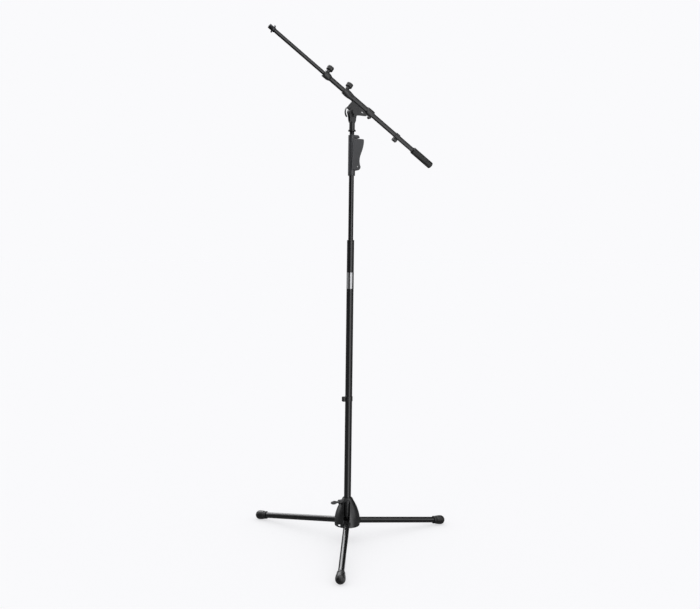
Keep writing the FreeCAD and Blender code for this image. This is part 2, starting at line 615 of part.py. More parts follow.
def bracket_parts():
    """Boom clamp: barrel with collars, web down to the pivot, and a curved guard rib."""
    tube_r = boom_outer_r + fit
    x0, x1 = bracket_rear, bracket_front
    barrel = boom_turned([(x0, collar_r - 1.0), (x0 + 1.5, collar_r), (x0 + 24, collar_r),
                          (x0 + 31, barrel_r), (x1 - 40, barrel_r), (x1 - 26, collar_r - 0.8),
                          (x1 - 18, collar_r), (x1 - 10, collar_r - 0.4), (x1 - 1, collar_r - 1.6),
                          (x1, collar_r - 2.2)])
    boss = rod(6.5, station(knob_station), station(knob_station, knob_lift - 3))
    web_front = guard_r - 1
    belly = boom_lift - barrel_r + 2
    rib_end = V(bracket_rear + 18, 0, 22)
    eye_tangent = V(-ear_r * 0.62, 0, -ear_r * 0.78)
    outline = [line(V(web_front - web_lean, 0, belly), V(web_front, 0, 0)),
               line(V(web_front, 0, 0), V(ear_r, 0, 0)),
               arc(V(ear_r, 0, 0), V(0, 0, -ear_r), eye_tangent),
               curve([eye_tangent, V(-23, 0, 5.5), V(-36, 0, 14.5), rib_end]),
               line(rib_end, V(rib_end.x, 0, belly)),
               line(V(rib_end.x, 0, belly), V(web_front - web_lean, 0, belly))]
    web = slab(ordered(outline), web_half)
    inner_r = guard_r - 2
    end = math.radians(-guard_angle)
    half = end / 2
    guard = slab(ordered([
        arc(V(guard_r, 0, 0), V(guard_r * math.cos(half), 0, guard_r * math.sin(half)),
            V(guard_r * math.cos(end), 0, guard_r * math.sin(end))),
        arc(V(inner_r, 0, 0), V(inner_r * math.cos(half), 0, inner_r * math.sin(half)),
            V(inner_r * math.cos(end), 0, inner_r * math.sin(end))),
        line(V(guard_r, 0, 0), V(inner_r, 0, 0)),
        line(V(guard_r * math.cos(end), 0, guard_r * math.sin(end)),
             V(inner_r * math.cos(end), 0, inner_r * math.sin(end)))]), web_half)
    feet = V(inner_r, 0, -0.5), V(guard_r, 0, -0.5)
    heads = V(guard_r - web_lean, 0, belly), V(inner_r - web_lean, 0, belly)
    rib = slab([line(*feet), line(feet[1], heads[0]), line(*heads), line(heads[1], feet[0])],
               web_half)
    lug_centre = V(bracket_rear + 6, 0, boom_lift - collar_r - 1)
    lug_half = AY * (web_half + 1)
    lug = rod(lug_r, lug_centre - lug_half, lug_centre + lug_half)
    body = barrel.fuse([boss, web, guard, rib, lug]).removeSplitter()
    body = body.cut(rod(web_hole_r, V(-30, -20, 22.5), V(-30, 20, 22.5)))
    body = body.cut(boom_rod(tube_r, x0 - 1, x1 + 1))
    body = body.cut(rod(bolt_r + fit, V(0, -20, 0), V(0, 20, 0)))
    body = body.cut(rod(screw_r + fit, station(knob_station), station(knob_station, knob_lift)))
    save("boom_bracket", place_boom(body))
    save("bracket_knob", place_boom(knob(knob_station)))


def boom_parts():
    """Boom tubes, their clutch and knob, tail grip, cable clip, thread adapter and wing nut."""
    clutch_rear = clutch_front - clutch_length
    outer_bore = boom_outer_r - tube_wall
    outer_front = clutch_front - 7
    tube = pipe(boom_outer_r, outer_bore, station(outer_tail), station(outer_front))
    hole_x = clutch_front - 11
    tube = tube.cut(rod(screw_r + 2 * fit, station(hole_x), station(hole_x, 20)))
    save("boom_outer_tube", place_boom(tube))
    clutch = boom_turned([(clutch_rear, boom_outer_r + 1), (clutch_rear + 4, clutch_r - 1.2),
                          (clutch_rear + 10, clutch_r), (clutch_front - 4.6, clutch_r),
                          (clutch_front - 4.2, clutch_r - 0.8), (clutch_front - 3, clutch_r - 0.8),
                          (clutch_front - 2.4, clutch_r + 0.2), (clutch_front, clutch_r - 0.4)])
    clutch = clutch.fuse(rod(6.0, station(hole_x), station(hole_x, knob_lift - 3)))
    clutch = clutch.removeSplitter()
    clutch = clutch.cut(boom_rod(boom_outer_r + fit, clutch_rear - 1, outer_front + fit))
    clutch = clutch.cut(boom_rod(boom_inner_r + fit, outer_front, clutch_front + 1))
    clutch = clutch.cut(rod(screw_r + fit, station(hole_x), station(hole_x, 20)))
    save("clutch_body", place_boom(clutch))
    head = knob(hole_x)
    reach = rod(screw_r, station(hole_x, boom_inner_r + fit), station(hole_x, boom_outer_r + 1))
    reach = reach.cut(boom_rod(boom_inner_r + fit, hole_x - 5, hole_x + 5))
    save("clutch_knob", place_boom(head.fuse(reach).removeSplitter()))
    grip_end = tail_grip_front - tail_grip_length
    grip = boom_turned([(grip_end, tail_grip_r - 3), (grip_end + 1.2, tail_grip_r - 1.2),
                        (grip_end + 3, tail_grip_r), (tail_grip_front - 4, tail_grip_r),
                        (tail_grip_front, boom_outer_r + 1.2)])
    grip = grip.cut(boom_rod(boom_outer_r + fit, outer_tail - fit, tail_grip_front + 1))
    save("tail_grip", place_boom(grip))
    clip = cable_clip(boom_outer_r, clip_wall)
    clip.rotate(ORIGIN, AY, 90)
    clip.rotate(ORIGIN, AX, 180)
    clip.translate(station(boom_clip_mid - clip_height / 2))
    save("boom_clip", place_boom(clip))
    save("boom_inner_tube", place_boom(pipe(boom_inner_r, boom_inner_r - tube_wall,
                                            station(inner_rear), station(inner_front))))
    inner_bore = boom_inner_r - tube_wall
    guide = boom_rod(outer_bore - fit, inner_rear - 6, inner_rear)
    guide = guide.fuse(boom_rod(inner_bore - fit, inner_rear, inner_rear + 14)).removeSplitter()
    save("inner_guide", place_boom(guide))
    tip = inner_front + adapter_length
    nut_end = wing_station + wing_height
    relief = nut_end + 0.1
    adapter = boom_turned([(inner_front, mic_thread_r), (relief, mic_thread_r),
                           (relief, mic_thread_r - 0.7), (relief + 0.6, mic_thread_r - 0.7),
                           (relief + 0.6, mic_thread_r), (tip - 1, mic_thread_r),
                           (tip, mic_thread_r - 1)])
    adapter = adapter.fuse(boom_rod(inner_bore - fit, inner_front - 16, inner_front))
    adapter = adapter.cut(boom_rod(4.0, tip - 14, tip + 1)).removeSplitter()
    save("mic_adapter", place_boom(adapter))
    nut = boom_rod(mic_thread_r + 2.4, wing_station, nut_end)
    for side in (-1, 1):
        ear = rod(3.6, station(wing_station + 0.4, side * (wing_span - 3.6)),
                  station(nut_end, side * (wing_span - 3.6)))
        near, far = sorted((side * mic_thread_r, side * (wing_span - 3.6)))
        arm = block((wing_station + 0.4, -3.0, boom_lift + near),
                    (nut_end, 3.0, boom_lift + far))
        nut = nut.fuse([ear, arm])
    nut = nut.removeSplitter().cut(boom_rod(mic_thread_r + fit, wing_station - 1, nut_end + 1))
    save("wing_nut", place_boom(nut))


hub_parts()
thumb_screw()
leg_parts()
lower_pole_parts()
grip_housing()
trigger_parts()
upper_pole_parts()
yoke_parts()
tension_lever()
bracket_parts()
boom_parts()
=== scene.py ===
"""Boom microphone stand: folding tripod base, telescopic pole with a trigger grip, tilting boom."""
import json
import math

import bmesh
import bpy
import numpy as np
from mathutils import Matrix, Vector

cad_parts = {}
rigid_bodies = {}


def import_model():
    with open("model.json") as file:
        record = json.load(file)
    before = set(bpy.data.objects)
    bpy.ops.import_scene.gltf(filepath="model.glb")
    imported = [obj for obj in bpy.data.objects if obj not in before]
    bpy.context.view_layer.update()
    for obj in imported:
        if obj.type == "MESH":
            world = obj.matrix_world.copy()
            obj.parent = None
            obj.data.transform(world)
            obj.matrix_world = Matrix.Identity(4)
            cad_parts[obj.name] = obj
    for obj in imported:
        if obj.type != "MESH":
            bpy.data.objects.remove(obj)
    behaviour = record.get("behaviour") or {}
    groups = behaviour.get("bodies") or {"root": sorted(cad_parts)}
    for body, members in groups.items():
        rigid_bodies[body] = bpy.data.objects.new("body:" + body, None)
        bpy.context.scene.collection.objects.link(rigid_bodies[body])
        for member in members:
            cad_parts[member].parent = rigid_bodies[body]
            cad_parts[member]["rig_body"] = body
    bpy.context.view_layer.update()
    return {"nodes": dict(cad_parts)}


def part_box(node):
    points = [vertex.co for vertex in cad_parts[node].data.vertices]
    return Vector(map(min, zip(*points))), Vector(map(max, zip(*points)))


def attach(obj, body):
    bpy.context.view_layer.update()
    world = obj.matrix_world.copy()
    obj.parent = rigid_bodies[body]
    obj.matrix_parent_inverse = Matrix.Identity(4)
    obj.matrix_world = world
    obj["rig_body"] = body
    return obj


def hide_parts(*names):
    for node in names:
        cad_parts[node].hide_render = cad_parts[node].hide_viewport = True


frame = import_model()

MM = 0.001

# ---- Hub -------------------------------------------------------------------------------
# The hub is one moulding in glass-filled nylon: a bell with a deep slot for each leg and a
# round-ended window beside each slot. Its mould was spark-eroded, so the skin has a fine even
# grain, and its corners are softened by less than a millimetre.


def linear(hex_colour):
    """Turns an sRGB hex colour into linear RGBA: ((c + 0.055) / 1.055) ** 2.4 above the toe."""
    channels = [int(hex_colour[i:i + 2], 16) / 255 for i in (0, 2, 4)]
    return [c / 12.92 if c <= 0.04045 else ((c + 0.055) / 1.055) ** 2.4 for c in channels] + [1]


def node(tree, kind, settings=None, links=None):
    """Adds one shader node, gives it its settings and input values, and links its inputs."""
    made = tree.nodes.new(kind)
    for key, value in (settings or {}).items():
        if isinstance(key, int) or key in made.inputs:
            made.inputs[key].default_value = value
        else:
            setattr(made, key, value)
    for key, source in (links or {}).items():
        tree.links.new(source, made.inputs[key])
    return made


def material(name):
    """New material with an empty tree and its output node."""
    made = bpy.data.materials.new(name)
    made.use_nodes = True
    made.node_tree.nodes.clear()
    return made, made.node_tree, made.node_tree.nodes.new("ShaderNodeOutputMaterial")


# Glass-filled nylon, spark-eroded mould: near black, dull, with a grain of about 0.5 mm and
# broad cloudy patches where the glass comes nearer to the skin.
nylon, tree, out = material("spark_eroded_nylon")
place = node(tree, "ShaderNodeTexCoord")
grain = node(tree, "ShaderNodeTexNoise", {"Scale": 1 / (0.5 * MM), "Detail": 3.0},
             {"Vector": place.outputs["Object"]})
cloud = node(tree, "ShaderNodeTexNoise", {"Scale": 1 / (22 * MM), "Detail": 2.0},
             {"Vector": place.outputs["Object"]})
tone = node(tree, "ShaderNodeValToRGB", {}, {"Fac": cloud.outputs["Fac"]})
tone.color_ramp.elements[0].color = linear("0c0c0d")
tone.color_ramp.elements[0].position = 0.3
tone.color_ramp.elements[1].color = linear("141415")
tone.color_ramp.elements[1].position = 0.7
rough = node(tree, "ShaderNodeMapRange", {"To Min": 0.32, "To Max": 0.44},
             {"Value": grain.outputs["Fac"]})
bump = node(tree, "ShaderNodeBump", {"Strength": 0.12, "Distance": 0.03 * MM},
            {"Height": grain.outputs["Fac"]})
skin = node(tree, "ShaderNodeBsdfPrincipled", {"IOR": 1.53},
            {"Base Color": tone.outputs["Color"], "Roughness": rough.outputs["Result"],
             "Normal": bump.outputs["Normal"]})
tree.links.new(skin.outputs["BSDF"], out.inputs["Surface"])


weld_gap = 0.002 * MM
flat_turn = math.radians(0.3)
corner_turn = math.radians(35)


def softened(name, finish, corner):
    """Puts a copy of a CAD solid in its place, with its points merged and corners rounded.

    Points closer than the weld gap become one, and faces that turn by less than the flat turn
    join up. Every edge that turns by more than the corner turn gets an arc of the corner's width.
    """
    source = frame["nodes"][name]
    mesh = source.data.copy()
    shape = bmesh.new()
    shape.from_mesh(mesh)
    bmesh.ops.remove_doubles(shape, verts=shape.verts, dist=weld_gap)
    bmesh.ops.dissolve_limit(shape, angle_limit=flat_turn, verts=shape.verts,
                             edges=shape.edges)
    for face in shape.faces:
        face.smooth = True
    shape.to_mesh(mesh)
    shape.free()
    mesh.materials.clear()
    mesh.materials.append(finish)
    piece = bpy.data.objects.new(name + "_finished", mesh)
    bpy.context.scene.collection.objects.link(piece)
    round_off = piece.modifiers.new("corners", "BEVEL")
    round_off.width = corner
    round_off.segments = 2
    round_off.limit_method = "ANGLE"
    round_off.angle_limit = corner_turn
    round_off.use_clamp_overlap = True
    shade = piece.modifiers.new("flat_faces", "WEIGHTED_NORMAL")
    shade.keep_sharp = False
    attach(piece, source["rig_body"])
    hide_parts(name)


softened("hub_housing", nylon, 0.6 * MM)
softened("hub_sleeve", nylon, 0.2 * MM)
softened("clamp_pad", nylon, 0.2 * MM)

# ---- Leg pins --------------------------------------------------------------------------
# Zinc plated steel pins, drawn and cut to length, one through the cheeks of each leg slot.
# They carry the legs and show only their ends and the stretch inside the slots.

# Zinc plated steel: a pale grey metal with a soft shine and faint drawing lines 0.3 mm apart.
zinc, tree, out = material("zinc_plated_steel")
place = node(tree, "ShaderNodeTexCoord")
lines = node(tree, "ShaderNodeTexNoise", {"Scale": 1 / (0.3 * MM), "Detail": 2.0},
             {"Vector": place.outputs["Object"]})
dull = node(tree, "ShaderNodeTexNoise", {"Scale": 1 / (6 * MM), "Detail": 3.0},
            {"Vector": place.outputs["Object"]})
tone = node(tree, "ShaderNodeValToRGB", {}, {"Fac": dull.outputs["Fac"]})
tone.color_ramp.elements[0].color = linear("8e8f90")
tone.color_ramp.elements[1].color = linear("b4b5b4")
rough = node(tree, "ShaderNodeMapRange", {"To Min": 0.26, "To Max": 0.44},
             {"Value": lines.outputs["Fac"]})
bump = node(tree, "ShaderNodeBump", {"Strength": 0.2, "Distance": 0.01 * MM},
            {"Height": lines.outputs["Fac"]})
skin = node(tree, "ShaderNodeBsdfPrincipled", {"Metallic": 1.0},
            {"Base Color": tone.outputs["Color"], "Roughness": rough.outputs["Result"],
             "Normal": bump.outputs["Normal"]})
tree.links.new(skin.outputs["BSDF"], out.inputs["Surface"])

softened("leg_pins", zinc, 0.3 * MM)

# ---- Legs ------------------------------------------------------------------------------
# Each leg is a nylon pivot casting, a 20 mm steel tube pushed over its spigot, and a rubber
# foot pushed on the end. The tubes are powder coated before they are fitted.

# Satin black powder coat on steel: dark, with a soft broad highlight and a slight orange peel
# of about 1.6 mm that shows in the highlight's edge.
coat, tree, out = material("satin_black_powder_coat")
place = node(tree, "ShaderNodeTexCoord")
peel = node(tree, "ShaderNodeTexNoise", {"Scale": 1 / (1.6 * MM), "Detail": 1.5},
            {"Vector": place.outputs["Object"]})
handling = node(tree, "ShaderNodeTexNoise", {"Scale": 1 / (45 * MM), "Detail": 4.0},
                {"Vector": place.outputs["Object"]})
tone = node(tree, "ShaderNodeValToRGB", {}, {"Fac": handling.outputs["Fac"]})
tone.color_ramp.elements[0].color = linear("0d0d0e")
tone.color_ramp.elements[0].position = 0.3
tone.color_ramp.elements[1].color = linear("131314")
tone.color_ramp.elements[1].position = 0.7
rough = node(tree, "ShaderNodeMapRange", {"To Min": 0.22, "To Max": 0.3},
             {"Value": handling.outputs["Fac"]})
bump = node(tree, "ShaderNodeBump", {"Strength": 0.08, "Distance": 0.03 * MM},
            {"Height": peel.outputs["Fac"]})
skin = node(tree, "ShaderNodeBsdfPrincipled", {"IOR": 1.5},
            {"Base Color": tone.outputs["Color"], "Roughness": rough.outputs["Result"],
             "Normal": bump.outputs["Normal"]})
tree.links.new(skin.outputs["BSDF"], out.inputs["Surface"])

# Moulded rubber: charcoal black, dull, with a soft bloom in patches and a fine pebble.
rubber, tree, out = material("moulded_black_rubber")
place = node(tree, "ShaderNodeTexCoord")
pebble = node(tree, "ShaderNodeTexVoronoi", {"Scale": 1 / (0.9 * MM)},
              {"Vector": place.outputs["Object"]})
bloom = node(tree, "ShaderNodeTexNoise", {"Scale": 1 / (9 * MM), "Detail": 4.0},
             {"Vector": place.outputs["Object"]})
tone = node(tree, "ShaderNodeValToRGB", {}, {"Fac": bloom.outputs["Fac"]})
tone.color_ramp.elements[0].color = linear("090909")
tone.color_ramp.elements[0].position = 0.35
tone.color_ramp.elements[1].color = linear("121212")
tone.color_ramp.elements[1].position = 0.75
rough = node(tree, "ShaderNodeMapRange", {"To Min": 0.36, "To Max": 0.5},
             {"Value": bloom.outputs["Fac"]})
bump = node(tree, "ShaderNodeBump", {"Strength": 0.3, "Distance": 0.05 * MM},
            {"Height": pebble.outputs["Distance"]})
skin = node(tree, "ShaderNodeBsdfPrincipled", {"IOR": 1.45, "Sheen Weight": 0.02},
            {"Base Color": tone.outputs["Color"], "Roughness": rough.outputs["Result"],
             "Normal": bump.outputs["Normal"]})
tree.links.new(skin.outputs["BSDF"], out.inputs["Surface"])


def unit(vector):
    return np.asarray(vector, float) / np.linalg.norm(vector)


def frame_along(axis):
    """Two unit vectors square to the axis and to each other, right-handed with it."""
    axis = unit(axis)
    helper = np.array([0.0, 1.0, 0.0]) if abs(axis[1]) < 0.9 else np.array([1.0, 0.0, 0.0])
    first = unit(np.cross(helper, axis))
    return first, np.cross(axis, first)


def smooth_profile(corners, radius, arc_steps):
    """Rounds the inner corners of an (along, out) line with arcs.

    Each corner is cut back by the radius, or by 0.45 of its shorter side, and the gap is
    filled with a quadratic curve: (1-t)^2 * start + 2t(1-t) * corner + t^2 * end.
    """
    corners = np.asarray(corners, float)
    t = np.linspace(0, 1, arc_steps + 1)[:, None]
    parts = [corners[:1]]
    for before, corner, after in zip(corners, corners[1:], corners[2:]):
        back = min(radius, 0.45 * np.linalg.norm(before - corner),
                   0.45 * np.linalg.norm(after - corner))
        start = corner + unit(before - corner) * back
        end = corner + unit(after - corner) * back
        parts.append((1 - t) ** 2 * start + 2 * t * (1 - t) * corner + t ** 2 * end)
    return np.vstack(parts + [corners[-1:]])


def grid_mesh(name, points, finish):
    """Builds a closed surface from a grid of points: rows along it, columns round it.

    Each row joins the next in four-sided faces, and both end rows are closed with a fan to
    their middle point.
    """
    rows, columns = points.shape[:2]
    index = np.arange(rows * columns).reshape(rows, columns)
    beside = np.roll(index, -1, axis=1)
    quads = np.stack([index[:-1], beside[:-1], beside[1:], index[1:]], axis=-1).reshape(-1, 4)
    middles = np.array([points[0].mean(axis=0), points[-1].mean(axis=0)])
    vertices = np.vstack([points.reshape(-1, 3), middles])
    low, high = rows * columns, rows * columns + 1
    first, last = index[0], index[-1]
    faces = quads.tolist()
    faces += np.stack([np.full(columns, low), np.roll(first, -1), first], 1).tolist()
    faces += np.stack([np.full(columns, high), last, np.roll(last, -1)], 1).tolist()
    mesh = bpy.data.meshes.new(name)
    mesh.from_pydata(vertices.tolist(), [], faces)
    mesh.polygons.foreach_set("use_smooth", np.ones(len(mesh.polygons), bool))
    mesh.materials.append(finish)
    piece = bpy.data.objects.new(name, mesh)
    bpy.context.scene.collection.objects.link(piece)
    return piece


def turned(origin, axis, profile, columns, lobes=None):
    """Points of a turned surface: origin + along * axis + out * (cos a, sin a) round it.

    lobes, if given, takes along, out and the angle a and gives a new out for each point.
    """
    first, second = frame_along(axis)
    angle = np.linspace(0, 2 * np.pi, columns, endpoint=False)[None, :]
    along, radius = profile[:, :1], np.repeat(profile[:, 1:], columns, axis=1)
    if lobes:
        radius = lobes(along, radius, angle)
    spoke = np.cos(angle)[..., None] * first + np.sin(angle)[..., None] * second
    return np.asarray(origin) + along[..., None] * unit(axis) + radius[..., None] * spoke


leg_tilt = math.radians(8)
leg_pin_reach = 29 * MM
foot_reach = 384 * MM
foot_ball = 16 * MM
leg_run = (foot_reach - leg_pin_reach) / math.cos(leg_tilt)
pin_height = foot_ball + leg_run * math.sin(leg_tilt)
ball_angle = np.radians(np.linspace(2, 90, 24))
ball = np.stack([foot_ball * np.cos(ball_angle), foot_ball * np.sin(ball_angle)], 1)
for number in (1, 2, 3):
    softened("leg_end_%d" % number, nylon, 0.6 * MM)
    softened("leg_tube_%d" % number, coat, 0.15 * MM)
    turn = math.radians(120 * (number - 1))
    outward = np.array([math.cos(turn), math.sin(turn), 0])
    leg_axis = outward * math.cos(leg_tilt) - np.array([0, 0, math.sin(leg_tilt)])
    leg_pin = outward * leg_pin_reach + np.array([0, 0, pin_height])
    # From the ball back: a short neck, a groove, a plain lip and the bore over the tube, in mm.
    taper = [[-4, 15.95], [-8, 15.7], [-12, 15.4], [-16, 15.0], [-19.4, 14.5], [-20.2, 14.2],
             [-20.6, 13.6], [-20.9, 12.3], [-23.4, 12.25], [-23.7, 12.8], [-24.1, 13.4],
             [-24.9, 13.6], [-30.6, 13.6], [-31.2, 13.3], [-31.5, 12.6], [-31.5, 10.25],
             [-8, 10.25], [-7.9, 0.4]]
    profile = np.vstack([ball, np.array(taper) * MM]) + [leg_run, 0]
    foot = grid_mesh("foot_%d" % number, turned(leg_pin, leg_axis, profile[::-1], 72), rubber)
    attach(foot, "leg_%d" % number)
    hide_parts("leg_foot_%d" % number)

# ---- Hub clamp screw -------------------------------------------------------------------
# A steel screw with a flat moulded paddle for the thumb. It presses the pad against the
# pole, and it is turned in by hand.
softened("thumb_screw", nylon, 0.5 * MM)

# ---- Lower pole ------------------------------------------------------------------------
# A 24 mm powder coated steel tube with a nylon plug in its foot and a nylon bush in its top,
# in which the upper tube slides. A snap-on clip holds the cable to it.
softened("lower_tube", coat, 0.15 * MM)
softened("pole_end_plug", nylon, 0.4 * MM)
softened("tube_bush", nylon, 0.4 * MM)
softened("pole_clip", nylon, 0.4 * MM)

# Printed polyester film, left blank: black, with a wide pale bar and a narrow grey one down
# its length. The bars are set by the turn about the pole, as a share of the whole turn, and
# the grey one runs on past the place where the share starts again at nought.
grey_bar = (0.992, 0.0975)
pale_bar = (0.1698, 0.2668)
label_black, bar_grey, bar_pale = "1a1a1b", "77787a", "c8c9cb"
film, tree, out = material("blank_polyester_label")
place = node(tree, "ShaderNodeTexCoord")
parts = node(tree, "ShaderNodeSeparateXYZ", {}, {"Vector": place.outputs["Object"]})
turn = node(tree, "ShaderNodeMath", {"operation": "ARCTAN2"},
            {0: parts.outputs["Y"], 1: parts.outputs["X"]})
share = node(tree, "ShaderNodeMapRange", {"From Min": -math.pi, "From Max": math.pi},
             {"Value": turn.outputs["Value"]})
bands = node(tree, "ShaderNodeValToRGB", {}, {"Fac": share.outputs["Result"]})
bands.color_ramp.interpolation = "CONSTANT"
bands.color_ramp.elements[0].color = linear(bar_grey)
bands.color_ramp.elements[1].position = grey_bar[0]
bands.color_ramp.elements[1].color = linear(bar_grey)
for position, colour in ((grey_bar[1], label_black), (pale_bar[0], bar_pale),
                         (pale_bar[1], label_black)):
    bands.color_ramp.elements.new(position).color = linear(colour)
fibre = node(tree, "ShaderNodeTexNoise", {"Scale": 1 / (0.8 * MM), "Detail": 2.0},
             {"Vector": place.outputs["Object"]})
rough = node(tree, "ShaderNodeMapRange", {"To Min": 0.38, "To Max": 0.5},
             {"Value": fibre.outputs["Fac"]})
bump = node(tree, "ShaderNodeBump", {"Strength": 0.1, "Distance": 0.01 * MM},
            {"Height": fibre.outputs["Fac"]})
skin = node(tree, "ShaderNodeBsdfPrincipled", {"IOR": 1.57},
            {"Base Color": bands.outputs["Color"], "Roughness": rough.outputs["Result"],
             "Normal": bump.outputs["Normal"]})
tree.links.new(skin.outputs["BSDF"], out.inputs["Surface"])
softened("pole_label", film, 0.02 * MM)

# ---- Upper pole ------------------------------------------------------------------------
# A 17 mm steel tube with the brake collet in its foot. Its coat is rubbed along its length
# where it slides in the bush.

# Powder coat rubbed by sliding: the same coat with fine lengthwise lines, 0.5 mm apart, that
# are a little smoother and paler than the rest.
rubbed, tree, out = material("rubbed_black_powder_coat")
place = node(tree, "ShaderNodeTexCoord")
line_width, line_length = 0.5 * MM, 60 * MM
stretched = node(tree, "ShaderNodeMapping",
                 {"Scale": (1 / line_width, 1 / line_width, 1 / line_length)},
                 {"Vector": place.outputs["Object"]})
scratches = node(tree, "ShaderNodeTexNoise", {"Scale": 1.0, "Detail": 2.0},
                 {"Vector": stretched.outputs["Vector"]})
tone = node(tree, "ShaderNodeValToRGB", {}, {"Fac": scratches.outputs["Fac"]})
tone.color_ramp.elements[0].color = linear("0d0d0e")
tone.color_ramp.elements[0].position = 0.45
tone.color_ramp.elements[1].color = linear("171718")
tone.color_ramp.elements[1].position = 0.75
rough = node(tree, "ShaderNodeMapRange", {"To Min": 0.3, "To Max": 0.2},
             {"Value": scratches.outputs["Fac"]})
bump = node(tree, "ShaderNodeBump", {"Strength": 0.15, "Distance": 0.01 * MM},
            {"Height": scratches.outputs["Fac"]})
skin = node(tree, "ShaderNodeBsdfPrincipled", {"IOR": 1.5},
            {"Base Color": tone.outputs["Color"], "Roughness": rough.outputs["Result"],
             "Normal": bump.outputs["Normal"]})
tree.links.new(skin.outputs["BSDF"], out.inputs["Surface"])

softened("upper_tube", rubbed, 0.15 * MM)
softened("brake_collet", nylon, 0.2 * MM)
softened("release_rod", zinc, 0.2 * MM)
spring = frame["nodes"]["release_spring"]
spring.data.materials.clear()
spring.data.materials.append(zinc)

# ---- Grip and trigger ------------------------------------------------------------------
# The grip is moulded over the top of the upper tube, and the trigger hangs on a steel pin
# through its lugs. Both are a softer, slightly greyer polymer than the rest.

# Satin nylon of the grip: dark grey, finer grain of 0.35 mm, polished where the hand rubs.
satin, tree, out = material("satin_grey_nylon")
place = node(tree, "ShaderNodeTexCoord")
grain = node(tree, "ShaderNodeTexNoise", {"Scale": 1 / (0.35 * MM), "Detail": 2.5},
             {"Vector": place.outputs["Object"]})
hand = node(tree, "ShaderNodeTexNoise", {"Scale": 1 / (30 * MM), "Detail": 2.0},
            {"Vector": place.outputs["Object"]})
tone = node(tree, "ShaderNodeValToRGB", {}, {"Fac": hand.outputs["Fac"]})
tone.color_ramp.elements[0].color = linear("212224")
tone.color_ramp.elements[0].position = 0.3
tone.color_ramp.elements[1].color = linear("2b2c2f")
tone.color_ramp.elements[1].position = 0.7
rough = node(tree, "ShaderNodeMapRange", {"To Min": 0.34, "To Max": 0.48},
             {"Value": hand.outputs["Fac"]})
bump = node(tree, "ShaderNodeBump", {"Strength": 0.12, "Distance": 0.02 * MM},
            {"Height": grain.outputs["Fac"]})
skin = node(tree, "ShaderNodeBsdfPrincipled", {"IOR": 1.53},
            {"Base Color": tone.outputs["Color"], "Roughness": rough.outputs["Result"],
             "Normal": bump.outputs["Normal"]})
tree.links.new(skin.outputs["BSDF"], out.inputs["Surface"])

softened("grip_housing", satin, 0.5 * MM)
softened("trigger", satin, 0.5 * MM)
softened("trigger_pin", zinc, 0.3 * MM)

# ---- Swivel stud and lock ring ----------------------------------------------------------
# The grip ends in a 5/8 inch threaded steel stud. The fluted lock ring runs on it and jams
# the yoke's skirt at the angle it is turned to.

# Black oxide on steel: a dark grey metal sheen, with brighter crests where the thread is
# rubbed.
oxide, tree, out = material("black_oxide_steel")
place = node(tree, "ShaderNodeTexCoord")
mottle = node(tree, "ShaderNodeTexNoise", {"Scale": 1 / (1.5 * MM), "Detail": 3.0},
              {"Vector": place.outputs["Object"]})
tone = node(tree, "ShaderNodeValToRGB", {}, {"Fac": mottle.outputs["Fac"]})
tone.color_ramp.elements[0].color = linear("2b2b2d")
tone.color_ramp.elements[0].position = 0.3
tone.color_ramp.elements[1].color = linear("4a4a4c")
tone.color_ramp.elements[1].position = 0.75
rough = node(tree, "ShaderNodeMapRange", {"To Min": 0.3, "To Max": 0.5},
             {"Value": mottle.outputs["Fac"]})
bump = node(tree, "ShaderNodeBump", {"Strength": 0.2, "Distance": 0.01 * MM},
            {"Height": mottle.outputs["Fac"]})
skin = node(tree, "ShaderNodeBsdfPrincipled", {"Metallic": 1.0},
            {"Base Color": tone.outputs["Color"], "Roughness": rough.outputs["Result"],
             "Normal": bump.outputs["Normal"]})
tree.links.new(skin.outputs["BSDF"], out.inputs["Surface"])

thread_crest = 7.9375 * MM
thread_pitch = 25.4 / 27 * MM
thread_depth = 0.5 * MM


def thread(start, end):
    """A 27 to the inch thread cut into a turned surface between two places along its axis.

    out - depth * |2 * frac(along / pitch - a / (2 pi)) - 1|, eased in over the end pitches.
    """
    def cut(along, radius, angle):
        turns = along / thread_pitch - angle / (2 * np.pi)
        tooth = np.abs(2 * (turns % 1) - 1)
        ease = np.clip(np.minimum(along - start, end - along) / thread_pitch, 0, 1)
        return radius - thread_depth * tooth * ease
    return cut


stud_low, stud_high = (corner.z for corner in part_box("swivel_stud"))
grip_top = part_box("grip_housing")[1].z
shank, chamfer = 7.2 * MM, 7.3 * MM
steps = np.arange(grip_top, stud_high, thread_pitch / 6)
profile = np.vstack([[[stud_low, 1 * MM], [stud_low, shank], [grip_top - 0.05 * MM, shank],
                      [grip_top, chamfer]],
                     np.stack([steps, np.full(len(steps), thread_crest)], 1),
                     [[stud_high, chamfer], [stud_high, 1 * MM]]])
stud = grid_mesh("swivel_stud_threaded", turned((0, 0, 0), (0, 0, 1), profile, 64,
                                                thread(grip_top, stud_high)), oxide)
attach(stud, "upper_pole")
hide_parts("swivel_stud")
softened("lock_ring", nylon, 0.25 * MM)

# ---- Yoke and pivot --------------------------------------------------------------------
# The yoke is a moulded fork on the stud. A hexagon bolt crosses it with a friction washer on
# each side of the boom clamp's web, and the lever nut on the other side sets the friction.
softened("yoke", nylon, 0.7 * MM)
softened("friction_washers", zinc, 0.1 * MM)
softened("pivot_bolt", oxide, 0.4 * MM)
softened("tension_lever", nylon, 0.6 * MM)

# ---- Boom clamp ------------------------------------------------------------------------
# One moulding holds the boom: a barrel with a collar at each end, a web down to the pivot,
# and a curved guard that closes the fork's mouth.
softened("boom_bracket", nylon, 0.7 * MM)

